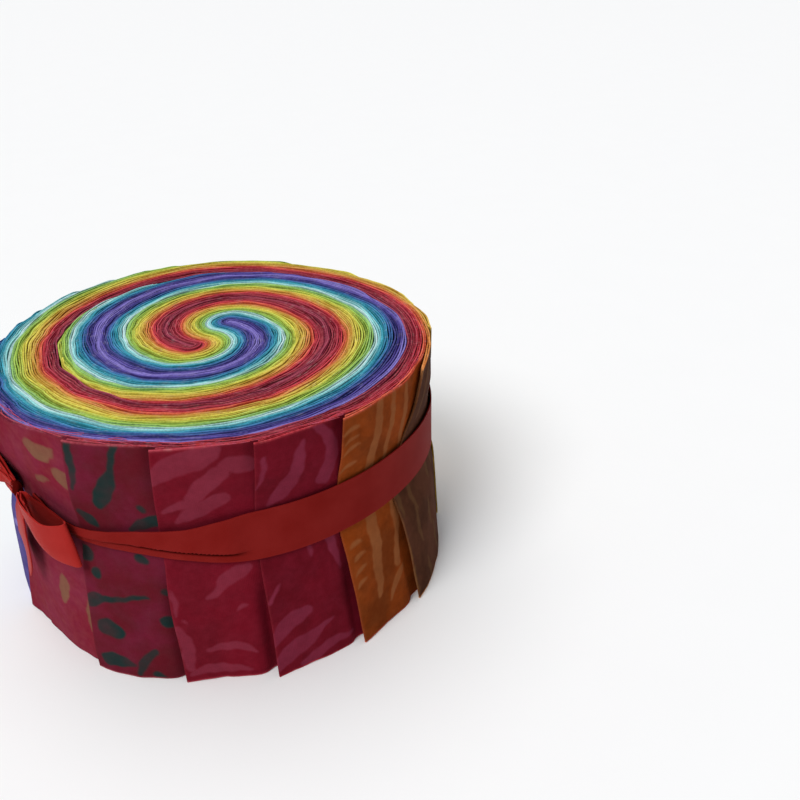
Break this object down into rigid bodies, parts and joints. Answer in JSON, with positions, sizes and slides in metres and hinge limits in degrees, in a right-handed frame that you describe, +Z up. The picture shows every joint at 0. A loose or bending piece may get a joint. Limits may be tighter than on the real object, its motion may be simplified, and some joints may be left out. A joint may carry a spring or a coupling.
{
  "type": "fabric strip roll",
  "caption": "Roll of printed cotton strips in a rainbow of colours, wound from the middle into a double spiral and tied round with a red ribbon bow.",
  "frame": {"origin": "on the flat underside, below the middle of the roll", "axes": "+Z up out of the upper spiral face, along the roll's axis; -Y towards the front of the roll, with the bow at its left"},
  "size_m": [0.1179, 0.1184, 0.0638],
  "materials": {
    "strips": "plain woven cotton with mottled dyed prints, matt",
    "ribbon": "red ribbed satin ribbon, soft sheen"
  },
  "bodies": {
    "root": {"strip_roll": "strips", "ribbon_band": "ribbon", "ribbon_knot": "ribbon", "bow_loop_front": "ribbon", "bow_loop_back": "ribbon", "bow_tail_front": "ribbon", "bow_tail_back": "ribbon"}
  },
  "joints": []
}
